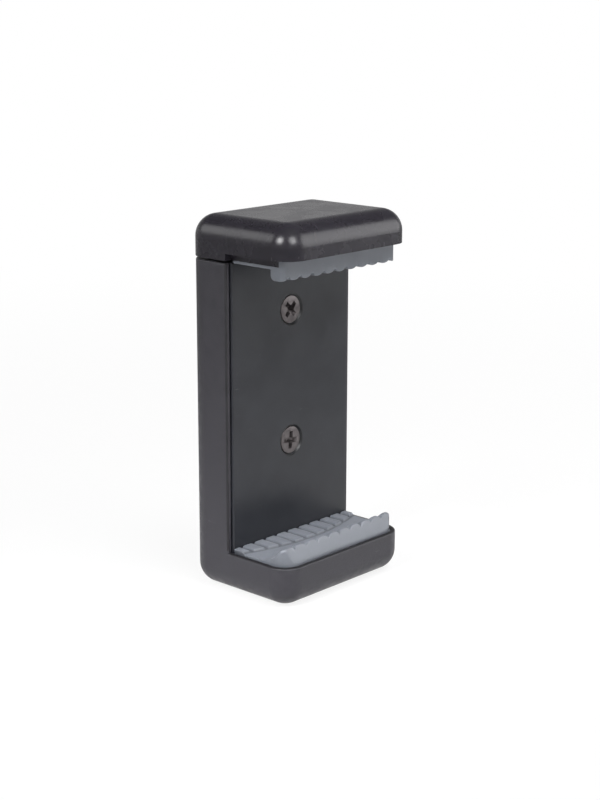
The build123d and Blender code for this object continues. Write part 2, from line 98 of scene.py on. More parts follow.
class NodeSheet:
    """Adds nodes to one node tree and joins them."""

    def __init__(self, tree: Tree) -> None:
        """Clears the tree.

        Args:
            tree: node tree of a material, a world or a node group.
        """
        self.tree = tree
        self.count = 0
        tree.nodes.clear()

    def add(self, kind: str, settings: dict | None = None, **inputs: object) -> Node:
        """Adds one node.

        Args:
            kind: the node's type name.
            settings: attributes to set on the node.
            inputs: values or output sockets by input name, with underscores for spaces.

        Returns:
            The new node.
        """
        node = self.tree.nodes.new(kind)
        row, column = divmod(self.count, SHEET_COLUMNS)
        node.location = (SHEET_STEP[0] * column, -SHEET_STEP[1] * row)
        self.count += 1
        for name, value in (settings or {}).items():
            setattr(node, name, value)
        for name, value in inputs.items():
            self.feed(node.inputs[name.replace("_", " ")], value)
        return node

    def feed(self, socket: Socket, value: object) -> None:
        """Joins an output to an input, or sets the input's own value.

        Args:
            socket: the input.
            value: an output socket, or a plain value.
        """
        if isinstance(value, Socket):
            self.tree.links.new(value, socket)
        else:
            socket.default_value = value

    def math(
        self, operation: str, first: object, second: object = 0.5, clamp: bool = False
    ) -> Socket:
        """Adds a Math node.

        Args:
            operation: the node's operation.
            first: first value or output.
            second: second value or output.
            clamp: whether the result stays between 0 and 1.

        Returns:
            Its output.
        """
        node = self.add("ShaderNodeMath", {"operation": operation, "use_clamp": clamp})
        self.feed(node.inputs[0], first)
        self.feed(node.inputs[1], second)
        return node.outputs[0]

    def product(self, first: object, *others: object) -> Socket:
        """Multiplies values and outputs.

        Args:
            first: first value or output.
            others: the further ones.

        Returns:
            The output of the product.
        """
        for other in others:
            first = self.math("MULTIPLY", first, other)
        return first

    def between(
        self, value: Socket, span: Span, to_low: float = 0.0, to_high: float = 1.0
    ) -> Socket:
        """Maps a span to another, smoothly and with clamped ends.

        Args:
            value: output that is mapped.
            span: the span's two ends.
            to_low: what its first end becomes.
            to_high: what its second end becomes.

        Returns:
            The mapped output.
        """
        node = self.add("ShaderNodeMapRange", {"interpolation_type": "SMOOTHSTEP"})
        for socket, fed in zip(node.inputs, (value, *span, to_low, to_high)):
            self.feed(socket, fed)
        return node.outputs[0]

    def blend(self, factor: Socket, first: object, second: object) -> Socket:
        """Mixes two colours.

        Args:
            factor: share of the second colour.
            first: first colour.
            second: second colour.

        Returns:
            The mixed colour.
        """
        node = self.add("ShaderNodeMix", {"data_type": "RGBA"})
        for name, fed in (("Factor_Float", factor), ("A_Color", first), ("B_Color", second)):
            self.feed(next(s for s in node.inputs if s.identifier == name), fed)
        return next(s for s in node.outputs if s.identifier == "Result_Color")

    def noise(
        self, place: Socket, scale: object, detail: float = 2.0, roughness: float = 0.5
    ) -> Socket:
        """Adds a noise texture, looked up at a place, and returns its factor."""
        settings = {"Scale": scale, "Detail": detail, "Roughness": roughness}
        return self.add("ShaderNodeTexNoise", Vector=place, **settings).outputs[0]

    def axes(self, vector: Socket) -> Sockets:
        """Returns the outputs X, Y and Z of a vector."""
        return self.add("ShaderNodeSeparateXYZ", Vector=vector).outputs

    def length(self, vector: Socket) -> Socket:
        """Returns the length of a vector."""
        node = self.add("ShaderNodeVectorMath", {"operation": "LENGTH"}, Vector=vector)
        return node.outputs["Value"]

    def place_in_mm(self) -> Socket:
        """Returns the place on the piece in millimetres."""
        place = self.add("ShaderNodeTexCoord").outputs["Object"]
        scale = {"operation": "SCALE"}
        return self.add("ShaderNodeVectorMath", scale, Vector=place, Scale=1 / MM).outputs[0]

    def rays(self) -> tuple[Socket, Socket]:
        """Adds a Light Path node.

        Returns:
            The mask of camera and transmission rays, and the mask of glossy rays.
        """
        path = self.add("ShaderNodeLightPath").outputs
        seen = self.math("MAXIMUM", path["Is Camera Ray"], path["Is Transmission Ray"])
        return seen, path["Is Glossy Ray"]

    def mix_shaders(self, share: Socket, first: Node, second: Node) -> Socket:
        """Mixes two shaders.

        Args:
            share: share of the second shader.
            first: first shader.
            second: second shader.

        Returns:
            The mixed shader.
        """
        mix = self.add("ShaderNodeMixShader", Fac=share)
        self.feed(mix.inputs[1], first.outputs[0])
        self.feed(mix.inputs[2], second.outputs[0])
        return mix.outputs[0]


def new_group(
    name: str, inputs: dict[str, float], outputs: Sequence[str]
) -> tuple[Tree, NodeSheet, Sockets]:
    """Starts a shader node group of number sockets.

    Args:
        name: the group's name.
        inputs: the inputs and their values.
        outputs: names of the outputs.

    Returns:
        The group, the sheet that adds its nodes, and what its input node gives.
    """
    group = bpy.data.node_groups.new(name, "ShaderNodeTree")
    kind = "NodeSocketFloat"
    for label, value in inputs.items():
        socket = group.interface.new_socket(name=label, in_out="INPUT", socket_type=kind)
        socket.default_value = value
    for label in outputs:
        group.interface.new_socket(name=label, in_out="OUTPUT", socket_type=kind)
    sheet = NodeSheet(group)
    return group, sheet, sheet.add("NodeGroupInput").outputs


@dataclass(frozen=True)
class ShadeLinePlan:
    """Where the painted shade lines run; a span is where a line fades."""

    facing_up: Span = (0.25, 0.8)
    rim_z: Span = (9.3, 9.6)
    side_x: float = 19.5
    spine_front_y: float = 2.7
    corner: Span = (0.25, 0.5)
    corner_shade: float = 0.8
    corner_foot_z: Span = (9.6, 9.9)
    sink_radius: Span = (3.5, 3.75)
    sink_back_y: float = 4.5
    rib_front_y: Span = (-4.4, -3.9)
    rib_arc_width: float = 100.0
    rib_depth_z: Span = (9.58, 10.06)


@dataclass(frozen=True)
class SurfaceEffects:
    """The node groups that the finishes share."""

    grain: Tree
    scuffs: Tree
    dust: Tree
    lines: Tree

    @staticmethod
    def build() -> "SurfaceEffects":
        """Builds each group once and returns them."""
        return SurfaceEffects(
            grain=SurfaceEffects._grain(),
            scuffs=SurfaceEffects._scuffs(),
            dust=SurfaceEffects._dust(),
            lines=SurfaceEffects._painted_shade(ShadeLinePlan()),
        )

    @staticmethod
    def _grain() -> Tree:
        """Moulded grain.

        Returns:
            A group that gives a height for bump and a slow mottle of the colour.
        """
        sockets = {"Cells per mm": 3.0, "Mottle size mm": 6.0}
        group, sheet, given = new_group("moulded_grain", sockets, ("Height", "Mottle"))
        noise_per_cell, cell_height, mottle_span = 1.9, 0.6, (0.3, 0.7)
        place = sheet.place_in_mm()
        per_mm = given["Cells per mm"]
        smooth = {"feature": "SMOOTH_F1"}
        cells = sheet.add("ShaderNodeTexVoronoi", smooth, Vector=place, Scale=per_mm)
        cell_relief = sheet.product(cells.outputs["Distance"], cell_height)
        fine = sheet.noise(place, sheet.product(per_mm, noise_per_cell), detail=3.0, roughness=0.6)
        height = sheet.math("ADD", cell_relief, fine)
        mottles_per_mm = sheet.math("DIVIDE", 1.0, given["Mottle size mm"])
        slow = sheet.noise(place, mottles_per_mm, detail=4.0, roughness=0.55)
        sheet.add("NodeGroupOutput", Height=height, Mottle=sheet.between(slow, mottle_span))
        return group

    @staticmethod
    def _scuffs() -> Tree:
        """Hairline scuffs.

        Returns:
            A group that gives a mask of short thin lines in two directions.
        """
        group, sheet, given = new_group("hairline_scuffs", {"Amount": 0.5}, ("Mask",))
        turns_and_scales = ((0.5, (0.12, 2.6, 0.9)), (-0.9, (2.2, 0.14, 0.8)))
        hair_span, patch_span, patches_per_mm = (0.62, 0.72), (0.45, 0.65), 0.09
        place = sheet.place_in_mm()
        hairs = []
        for turn, scale in turns_and_scales:
            turned = (turn, turn / 2, turn)
            mapped = sheet.add("ShaderNodeMapping", Vector=place, Rotation=turned, Scale=scale)
            noise = sheet.noise(mapped.outputs[0], scale=1.6, detail=5.0, roughness=0.75)
            hairs.append(sheet.between(noise, hair_span))
        patches = sheet.between(sheet.noise(place, patches_per_mm), patch_span)
        both = sheet.product(sheet.math("MAXIMUM", *hairs), patches)
        mask = sheet.math("MULTIPLY", both, given["Amount"], clamp=True)
        sheet.add("NodeGroupOutput", Mask=mask)
        return group

    @staticmethod
    def _dust() -> Tree:
        """Faint dust.

        Returns:
            A group that gives a mask of specks on what faces up.
        """
        group, sheet, given = new_group("settled_dust", {"Amount": 0.3}, ("Mask",))
        facing_up, speck_span, thinnest = (0.35, 0.95), (0.5, 0.75), 0.15
        normal = sheet.add("ShaderNodeNewGeometry").outputs["Normal"]
        upward = sheet.between(sheet.axes(normal)["Z"], facing_up)
        specks = sheet.noise(sheet.place_in_mm(), scale=1.3, detail=6.0, roughness=0.7)
        spread = sheet.between(specks, speck_span, thinnest)
        mask = sheet.math("MULTIPLY", sheet.product(upward, spread), given["Amount"], clamp=True)
        sheet.add("NodeGroupOutput", Mask=mask)
        return group

    @staticmethod
    def _painted_shade(plan: ShadeLinePlan) -> Tree:
        """Painted shade lines: shade and a dark reflection painted into the gaps, on the spine's
        corners and between the ribs.

        Args:
            plan: where the lines run.

        Returns:
            A group that gives their mask: round the lower pad, on the spine's front corners and
            round the screws by its input Edges, between the ribs by its input Ribs.
        """
        group, sheet, given = new_group("painted_shade_lines", {"Edges": 1.0, "Ribs": 0.0}, ("Mask",))
        normal = sheet.add("ShaderNodeNewGeometry").outputs["Normal"]
        place = sheet.axes(sheet.place_in_mm())
        across = sheet.math("ABSOLUTE", place["X"])

        # Painted shade on the rim's upward faces round the lower pad.
        upward = sheet.between(sheet.axes(normal)["Z"], plan.facing_up)
        rim = sheet.product(upward, sheet.between(place["Z"], plan.rim_z, 1.0, 0.0))

        # Painted reflection: a dark line down the spine's front corners, standing in for a rounded
        # edge's dark reflection.
        aside = sheet.math("SUBTRACT", plan.side_x, across)
        behind = sheet.math("SUBTRACT", place["Y"], plan.spine_front_y)
        off_corner = sheet.math("MAXIMUM", aside, behind)
        corner = sheet.between(off_corner, plan.corner, plan.corner_shade, 0.0)
        spine = sheet.product(corner, sheet.between(place["Z"], plan.corner_foot_z))

        # Painted shade in the countersinks round the screw heads.
        above = [sheet.math("SUBTRACT", place["Z"], height) for height in SCREW_HEIGHTS]
        nearest = sheet.math("MINIMUM", *(sheet.math("ABSOLUTE", value) for value in above))
        apart = sheet.add("ShaderNodeCombineXYZ", X=place["X"], Y=nearest).outputs[0]
        sink_shade = sheet.between(sheet.length(apart), plan.sink_radius, 1.0, 0.0)
        sink_shade = sheet.product(sink_shade, sheet.math("LESS_THAN", place["Y"], plan.sink_back_y))
        seam_shade = sheet.math("MAXIMUM", sheet.math("MAXIMUM", rim, spine), sink_shade)

        # Painted shade low between the ribs, behind their front ends.
        bow = sheet.math("DIVIDE", sheet.math("POWER", across, 2.0), plan.rib_arc_width)
        rear = sheet.between(sheet.math("SUBTRACT", place["Y"], bow), plan.rib_front_y)
        deep = sheet.between(place["Z"], plan.rib_depth_z, 1.0, 0.0)
        ribs = sheet.product(rear, deep, given["Ribs"])
        edges = sheet.product(seam_shade, given["Edges"])
        sheet.add("NodeGroupOutput", Mask=sheet.math("MAXIMUM", edges, ribs, clamp=True))
        return group


# --- finishes


@dataclass(frozen=True)
class Finish:
    """A surface with a mottled colour, a fine relief, scuffs, dust and lines of painted shade."""

    name: str
    colour: Colour
    second_colour: Colour
    roughness: float
    relief_mm: float
    cells_per_mm: float
    mottle_mm: float = 6.0
    scuffs: float = 0.4
    scuff_colour: Colour = (0.16, 0.16, 0.17, 1.0)
    dust: float = 0.12
    dust_colour: Colour = (0.42, 0.41, 0.40, 1.0)
    dust_roughness: float = 0.5
    # Amounts and colour of the painted shade lines: along edges and gaps, and between the ribs.
    edge_shade: float = 0.0
    rib_shade: float = 0.0
    painted_shade_colour: Colour = (0.004, 0.004, 0.005, 1.0)
    metallic: float = 0.0
    specular: float = 0.5
    roughness_spread: float = 0.08

    def build(self, effects: SurfaceEffects) -> Material:
        """Makes the material.

        Args:
            effects: the shared node groups.

        Returns:
            The material.
        """
        material = bpy.data.materials.new(self.name)
        material.use_nodes = True
        sheet = NodeSheet(material.node_tree)
        grain = sheet.add(
            "ShaderNodeGroup", {"node_tree": effects.grain},
            Cells_per_mm=self.cells_per_mm, Mottle_size_mm=self.mottle_mm,
        ).outputs
        scuffs = sheet.add("ShaderNodeGroup", {"node_tree": effects.scuffs}, Amount=self.scuffs)
        dust = sheet.add("ShaderNodeGroup", {"node_tree": effects.dust}, Amount=self.dust)
        colour = sheet.blend(grain["Mottle"], self.colour, self.second_colour)
        colour = sheet.blend(scuffs.outputs["Mask"], colour, self.scuff_colour)
        colour = sheet.blend(dust.outputs["Mask"], colour, self.dust_colour)
        # Painted shade: the dark lines darken the colour where shade and dark reflections fall.
        if self.edge_shade or self.rib_shade:
            lines = sheet.add(
                "ShaderNodeGroup", {"node_tree": effects.lines},
                Edges=self.edge_shade, Ribs=self.rib_shade,
            )
            colour = sheet.blend(lines.outputs["Mask"], colour, self.painted_shade_colour)
        low, high = self.roughness - self.roughness_spread, self.roughness + self.roughness_spread
        rough = sheet.between(grain["Mottle"], (0.0, 1.0), low, high)
        dusty = sheet.product(dust.outputs["Mask"], self.dust_roughness)
        depth = self.relief_mm * MM
        bump = sheet.add("ShaderNodeBump", Strength=1.0, Distance=depth, Height=grain["Height"])
        shader = sheet.add(
            "ShaderNodeBsdfPrincipled",
            Base_Color=colour,
            Roughness=sheet.math("ADD", rough, dusty, clamp=True),
            Metallic=self.metallic,
            Specular_IOR_Level=self.specular,
            Normal=bump.outputs[0],
        )
        sheet.add("ShaderNodeOutputMaterial", Surface=shader.outputs[0])
        return material


BODY_PLASTIC = Finish(
    "body_plastic",
    colour=(0.0305, 0.029, 0.036, 1), second_colour=(0.038, 0.036, 0.044, 1),
    roughness=0.46, relief_mm=0.03, cells_per_mm=4.2, mottle_mm=1.8,
    # Painted shade along the rim round the lower pad and a painted dark reflection on the spine's
    # front corners.
    scuffs=0.5, edge_shade=0.85, specular=0.36,
)
PLATE_PLASTIC = Finish(
    "plate_plastic",
    colour=(0.014, 0.0152, 0.0205, 1), second_colour=(0.018, 0.0195, 0.0255, 1),
    roughness=0.36, relief_mm=0.012, cells_per_mm=5.0,
    # Painted shade round the screw sinks.
    scuffs=0.3, edge_shade=0.8, specular=0.43, roughness_spread=0.02,
)
CAP_PLASTIC = Finish(
    "cap_plastic",
    colour=(0.0175, 0.0155, 0.0215, 1), second_colour=(0.021, 0.019, 0.0255, 1),
    roughness=0.27, relief_mm=0.009, cells_per_mm=4.2, mottle_mm=5.0,
    scuffs=0.2, dust=0.02, specular=0.4, roughness_spread=0.02,
)
PAD_RUBBER = Finish(
    "pad_rubber",
    colour=(0.143, 0.155, 0.180, 1), second_colour=(0.167, 0.179, 0.205, 1),
    roughness=0.45, relief_mm=0.02, cells_per_mm=2.6,
    scuffs=0.5, scuff_colour=(0.25, 0.26, 0.28, 1), dust=0.1, dust_colour=(0.36, 0.36, 0.36, 1),
    # Painted shade low between the ribs, in a dark grey-blue.
    rib_shade=0.6, painted_shade_colour=(0.03, 0.034, 0.042, 1),
)
SCREW_STEEL = Finish(
    "screw_steel",
    colour=(0.100, 0.089, 0.091, 1), second_colour=(0.148, 0.134, 0.136, 1),
    roughness=0.40, relief_mm=0.012, cells_per_mm=3.0, mottle_mm=1.2,
    scuffs=0.8, scuff_colour=(0.30, 0.285, 0.28, 1), dust=0.0, metallic=0.85,
)
INSERT_BRASS = Finish(
    "insert_brass",
    colour=(0.70, 0.50, 0.22, 1), second_colour=(0.78, 0.58, 0.28, 1),
    roughness=0.3, relief_mm=0.01, cells_per_mm=3.0, mottle_mm=2.0,
    scuffs=0.5, scuff_colour=(0.85, 0.7, 0.42, 1), dust=0.0, metallic=1.0,
)
SPRING_STEEL = Finish(
    "spring_steel",
    colour=(0.46, 0.46, 0.48, 1), second_colour=(0.56, 0.56, 0.57, 1),
    roughness=0.3, relief_mm=0.006, cells_per_mm=5.0, mottle_mm=1.0,
    scuffs=0.3, scuff_colour=(0.7, 0.7, 0.7, 1), dust=0.0, metallic=1.0,
)


# --- mesh helpers


def ring(count: int) -> list[float]:
    """Returns count angles evenly round a full turn, in radians."""
    return [2 * math.pi * step / count for step in range(count)]


def steps(low: float, high: float, count: int) -> list[float]:
    """Returns count + 1 values from low to high."""
    return [low + (high - low) * step / count for step in range(count + 1)]


def polar(radius: float, angle: float) -> Point:
    """Returns the point at a radius and an angle in radians."""
    return radius * math.cos(angle), radius * math.sin(angle)


def arc(centre: Point, radius: float, start: float, end: float, count: int) -> list[Point]:
    """Returns count + 1 points along an arc, from a start to an end in degrees."""
    bend = [polar(radius, math.radians(angle)) for angle in steps(start, end, count)]
    return [(centre[0] + x, centre[1] + y) for x, y in bend]


def add_object(name: str, data: bpy.types.ID) -> Object:
    """Adds an object to the scene.

    Args:
        name: the object's name.
        data: its mesh, light or camera.

    Returns:
        The object.
    """
    made = bpy.data.objects.new(name, data)
    bpy.context.scene.collection.objects.link(made)
    return made


def smooth(mesh: bpy.types.Mesh, sharp_degrees: float) -> None:
    """Shades a mesh smoothly and keeps edges sharp that are steeper than an angle."""
    mesh.polygons.foreach_set("use_smooth", [True] * len(mesh.polygons))
    mesh.set_sharp_from_angle(angle=math.radians(sharp_degrees))


@dataclass
class Shell:
    """A closed mesh in the making, in millimetres."""

    points: list[Vector] = field(default_factory=list)
    faces: list[tuple[int, ...]] = field(default_factory=list)

    def loft(
        self, rows: Sequence[Sequence[Vector]], wrap: bool = False, capped: bool = True
    ) -> "Shell":
        """Joins closed rows of equal length into a skin.

        Args:
            rows: rings of points, one after another.
            wrap: whether the last row joins the first.
            capped: whether the last row is closed too; the first one is, unless the rows wrap.

        Returns:
            This shell.
        """
        start = len(self.points)
        length = len(rows[0])
        for row in rows:
            self.points.extend(row)
        pairs = len(rows) if wrap else len(rows) - 1
        for row in range(pairs):
            here = start + row * length
            there = start + (row + 1) % len(rows) * length
            for column in range(length):
                after = (column + 1) % length
                self.faces.append((here + column, here + after, there + after, there + column))
        if not wrap:
            self.faces.append(tuple(range(start + length - 1, start - 1, -1)))
        if capped and not wrap:
            last = start + (len(rows) - 1) * length
            self.faces.append(tuple(range(last, last + length)))
        return self

    def prism(self, outline: Sequence[Point], heights: Sequence[float]) -> "Shell":
        """Stacks a plan outline at each of some heights and returns this shell."""
        return self.loft([[Vector((x, y, z)) for x, y in outline] for z in heights])

    def make(self, name: str, sharp_degrees: float = 35.0) -> Object:
        """Makes the mesh object, in metres.

        Args:
            name: the object's name.
            sharp_degrees: edges steeper than this stay sharp.

        Returns:
            The object, linked to the scene.
        """
        mesh = bpy.data.meshes.new(name)
        mesh.from_pydata([p * MM for p in self.points], [], self.faces)
        work = bmesh.new()
        work.from_mesh(mesh)
        bmesh.ops.remove_doubles(work, verts=work.verts, dist=WELD_M)
        bmesh.ops.recalc_face_normals(work, faces=work.faces)
        work.to_mesh(mesh)
        work.free()
        smooth(mesh, sharp_degrees)
        return add_object(name, mesh)


class Solid(Enum):
    """Ways of combining two solids."""

    JOIN = "UNION"
    CUT = "DIFFERENCE"


def combine(
    base: Object, tool: Object, way: Solid, sharp_degrees: float = 35.0
) -> Object:
    """Combines a second solid with a first and drops the second.

    Args:
        base: the object that is kept.
        tool: the object that is used up.
        way: whether tool is joined to base or cut from it.
        sharp_degrees: edges steeper than this stay sharp.

    Returns:
        The base object with its new mesh.
    """
    modifier = base.modifiers.new("combine", "BOOLEAN")
    modifier.operation = way.value
    modifier.solver = "EXACT"
    modifier.object = tool
    evaluated = base.evaluated_get(bpy.context.evaluated_depsgraph_get())
    mesh = bpy.data.meshes.new_from_object(evaluated)
    base.modifiers.clear()
    base.data = mesh
    bpy.data.objects.remove(tool)
    work = bmesh.new()
    work.from_mesh(mesh)
    bmesh.ops.dissolve_degenerate(work, edges=work.edges, dist=WELD_M)
    work.to_mesh(mesh)
    work.free()
    smooth(mesh, sharp_degrees)
    return base


def dress(piece: Object, material: Material) -> None:
    """Puts one material on a whole piece.

    Args:
        piece: a mesh object.
        material: its finish.
    """
    if not piece.data.materials:
        piece.data.materials.append(material)
    for index in range(len(piece.data.materials)):
        piece.data.materials[index] = material


def install(
    piece: Object, node: str, body: Body, material: Material
) -> None:
    """Dresses a new piece and puts it in the place of a solid of the model.

    Args:
        piece: the new piece.
        node: the solid that it stands for.
        body: what it moves with.
        material: its finish.
    """
    dress(piece, material)
    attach(piece, body.value)
    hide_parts(node)
    LOG.info("%s rides on %s, %d faces", piece.name, body.value, len(piece.data.polygons))


# --- rubber pads


def soft_min(first: float, second: float, reach: float) -> float:
    """Returns the lesser of two numbers, rounded off where they are closer than reach."""
    near = max(0.0, reach - abs(first - second)) / reach
    return min(first, second) - near * near * reach / 4


def soft_step(share: float) -> float:
    """Returns a smooth ramp from 0 to 1 as share goes from 0 to 1."""
    held = min(1.0, max(0.0, share))
    return held * held * (3 - 2 * held)


def edge_drop(inside: float, radius: float) -> float:
    """Returns how far a rounded edge lies below its face, at a distance inside the outline."""
    short = radius - min(max(inside, 0.0), radius)
    return radius - math.sqrt(max(0.0, radius**2 - short**2))


@dataclass(frozen=True)
class PadPlan:
    """Plan of a pad: straight sides and back, with rounded front corners."""

    half_width: float
    front_y: float
    corner: float
    back_y: float = 2.1
    corner_columns: int = 36
    last_column_degrees: float = 89.0

    def front(self, x: float) -> float:
        """Returns where the plan's front is at x."""
        over = max(0.0, abs(x) - (self.half_width - self.corner))
        return self.front_y + self.corner - math.sqrt(max(0.0, self.corner**2 - over**2))

    def inside(self, x: float, y: float) -> float:
        """Distance to the plan's outline.

        Args:
            x: place across it.
            y: place along its depth.

        Returns:
            How far inside the outline the place is.
        """
        over_x = abs(x) - (self.half_width - self.corner)
        over_y = self.front_y + self.corner - y
        if over_x > 0 and over_y > 0:
            return self.corner - math.hypot(over_x, over_y)
        return min(self.half_width - abs(x), y - self.front_y, self.back_y - y)

    def columns(self, count: int) -> list[float]:
        """Places across the pad, closer together round its corners.

        Args:
            count: number of runs between the corners.

        Returns:
            The places, from left to right.
        """
        reach = self.half_width - self.corner
        angles = steps(0, self.last_column_degrees, self.corner_columns)[1:]
        bend = [reach + self.corner * math.sin(math.radians(angle)) for angle in angles]
        return [-x for x in reversed(bend)] + steps(-reach, reach, count) + bend


@dataclass(frozen=True)
class Comb:
    """A row of rounded teeth across a pad."""

    rise: float
    phase: float
    fill: float = 1.0
    width: float = 35.6
    count: int = 10

    def gap(self, x: float) -> float:
        """Depth of the row.

        Args:
            x: place across it.

        Returns:
            How far the row's edge there is from the line of the tips.
        """
        if abs(x) > self.width / 2:
            return self.rise
        place = (x / self.width + 0.5) * self.count + self.phase
        offset = abs(2 * (place - math.floor(place)) - 1) / self.fill
        return self.rise * (1 - math.sqrt(max(0.0, 1 - offset**2)))


@dataclass
class LowerPad:
    """Pad let into the fixed jaw: ribs at the back, and a seat that sweeps up into a thin lip."""

    name: str = "lower_pad_rubber"
    plan: PadPlan = PadPlan(18.15, -13.15, 3.65)
    columns: int = 240
    seat_z: float = 7.95
    flange_z: float = 8.85
    flange_out: float = 0.3
    overlap: float = 0.2
    top_z: float = 9.55
    edge_radius: float = 0.16
    sweep_y: float = -5.5
    sweep_radius: float = 6.35
    sweep_blend: float = 0.22
    lip_back_y: float = -11.2
    lip_front_y: float = -12.0
    lip_top_z: float = 13.1
    lip_blend: float = 0.45
    end_radius: float = 0.5
    end_foot: float = 0.8
    rib_pitch: float = 3.56
    rib_half_width: float = 1.64
    rib_slope: float = 0.6
    rib_rise: float = 0.55
    rib_foot_y: float = -4.1
    rib_arc: float = 50.0
    comb: Comb = Comb(1.05, 0.0)
    back_insets: tuple[float, ...] = (0.0, 0.03, 0.08, 0.16)
    seat_start_y: float = 1.7
    # Start, end and number of steps of each run of places along the depth.
    runs: tuple[tuple[float, float, int], ...] = (
        (1.7, -0.4, 6), (-0.6, -4.2, 34), (-4.2, -5.5, 4),
        (-5.5, -10.6, 15), (-10.6, -11.9, 14), (-11.9, -12.9, 9),
    )
    front_insets: tuple[float, ...] = (0.16, 0.1, 0.05, 0.015, 0.0)

    def rib(self, x: float, y: float) -> float:
        """Height of the ribs above the seat.

        Args:
            x: place across it.
            y: place along its depth.

        Returns:
            The height there.
        """
        offset = abs(x / self.rib_pitch - round(x / self.rib_pitch)) * self.rib_pitch
        foot_y = self.rib_foot_y + self.rib_arc - math.sqrt(self.rib_arc**2 - x**2)
        side = soft_step((self.rib_half_width - offset) / self.rib_slope)
        return self.rib_rise * side * soft_step((y - foot_y) / self.rib_slope)

    def height(self, x: float, y: float) -> float:
        """Height of the pad's upper side.

        Args:
            x: place across it.
            y: place along its depth.

        Returns:
            The height there.
        """
        run = min(max(self.sweep_y - y, 0.0), self.sweep_y - self.lip_back_y)
        sweep = self.top_z + self.sweep_radius - math.sqrt(self.sweep_radius**2 - run**2)
        edge = self.lip_top_z - self.comb.gap(x)
        steepness = (self.lip_top_z - self.top_z) / (self.lip_front_y - self.plan.front_y)
        face = self.top_z + (y - self.plan.front_y) * steepness
        inside = self.plan.inside(x, y)
        crest = soft_min(soft_min(sweep, edge, self.sweep_blend), face, self.lip_blend)
        ends = soft_step(crest - self.top_z - self.end_foot)
        crest -= ends * edge_drop(inside, self.end_radius)
        return crest + self.rib(x, y) - edge_drop(inside, self.edge_radius)

    def depths(self) -> list[float]:
        """Places along the depth, closer together where the pad curves.

        Returns:
            The places, from the back to the front.
        """
        places = [self.plan.back_y - inset for inset in self.back_insets] + [self.seat_start_y]
        for start, end, count in self.runs:
            places += steps(start, end, count)[1:]
        return places + [self.plan.front_y + inset for inset in self.front_insets]

    def row(self, x: float) -> list[Vector]:
        """Section of the pad above its flange.

        Args:
            x: place across it.

        Returns:
            The closed section there.
        """
        turn_y = self.plan.front_y + self.plan.corner
        squeeze = (self.plan.front(x) - turn_y) / (self.plan.front_y - turn_y)
        places = [y if y > turn_y else turn_y + (y - turn_y) * squeeze for y in self.depths()]
        foot_z = self.flange_z - self.overlap
        row = [Vector((x, y, self.height(x, y))) for y in places]
        return row + [Vector((x, y, foot_z)) for y in (places[-1], self.plan.back_y)]

    def flange(self) -> list[Point]:
        """Plan of the flange.

        Returns:
            Its outline, anticlockwise from the back left.
        """
        radius = self.plan.corner + self.flange_out
        reach = self.plan.half_width - self.plan.corner
        middle_y = self.plan.front_y + self.plan.corner
        left = arc((-reach, middle_y), radius, 180, 270, 16)
        right = arc((reach, middle_y), radius, 270, 360, 16)
        back_y = self.plan.back_y
        return [(-reach - radius, back_y), *left, *right, (reach + radius, back_y)]

    def build(self) -> Object:
        """Builds the pad.

        Returns:
            The pad as one closed mesh.
        """
        upper = Shell().loft([self.row(x) for x in self.plan.columns(self.columns)])
        base = Shell().prism(self.flange(), (self.seat_z, self.flange_z))
        return combine(base.make(self.name), upper.make("lower_pad_top"), Solid.JOIN)


@dataclass
class UpperPad:
    """Pad under the cap: skin over the plinth, plug in its pocket and a toothed lip in front."""

    name: str = "upper_pad_rubber"
    plan: PadPlan = PadPlan(17.8, -12.0, 1.1)
    columns: int = 288
    skin_low_z: float = 72.5
    skin_high_z: float = 73.1
    skin_bevel: float = 0.15
    cap_z: float = 74.6
    wrap_back_y: float = -11.2
    least_wrap: float = 0.05
    lip_back_y: float = -8.6
    lip_edge_z: float = 70.25
    back_radius: float = 1.1
    edge_radius: float = 0.3
    root_radius: float = 0.3
    plug_half_width: float = 16.2
    plug_back_y: float = 1.1
    plug_front_y: float = -9.6
    plug_rise: float = 1.0
    overlap: float = 0.2
    comb: Comb = Comb(0.65, 0.5, 0.82)

    def profile(self, x: float) -> list[Point]:
        """Section of lip and skin.

        Args:
            x: place across it.

        Returns:
            Points (y, z), from the skin's back edge round the lip.
        """
        edge = self.lip_edge_z + self.comb.gap(x)
        front = self.plan.front(x)
        wrap = max(self.wrap_back_y, front + self.least_wrap)
        back, low, high = self.plan.back_y, self.skin_low_z, self.skin_high_z
        root, heel, toe = self.root_radius, self.back_radius, self.edge_radius
        points = [(back, high), (back, low + self.skin_bevel), (back - self.skin_bevel, low)]
        points += arc((self.lip_back_y + root, low - root), root, 90, 180, 4)
        points += arc((self.lip_back_y - heel, edge + heel), heel, 0, -90, 8)
        points += arc((front + toe, edge + toe), toe, 270, 180, 5)
        return points + [(front, self.cap_z), (wrap, self.cap_z), (wrap, high)]

    def build(self) -> Object:
        """Builds the pad.

        Returns:
            The pad as one closed mesh.
        """
        columns = self.plan.columns(self.columns)
        lip = Shell().loft([[Vector((x, y, z)) for y, z in self.profile(x)] for x in columns])
        side, back, front = self.plug_half_width, self.plug_back_y, self.plug_front_y
        outline = [(-side, back), (-side, front), (side, front), (side, back)]
        heights = (self.skin_high_z - self.overlap, self.skin_high_z + self.plug_rise)
        plug = Shell().prism(outline, heights)
        return combine(lip.make(self.name), plug.make("upper_pad_plug"), Solid.JOIN)


# --- metal pieces


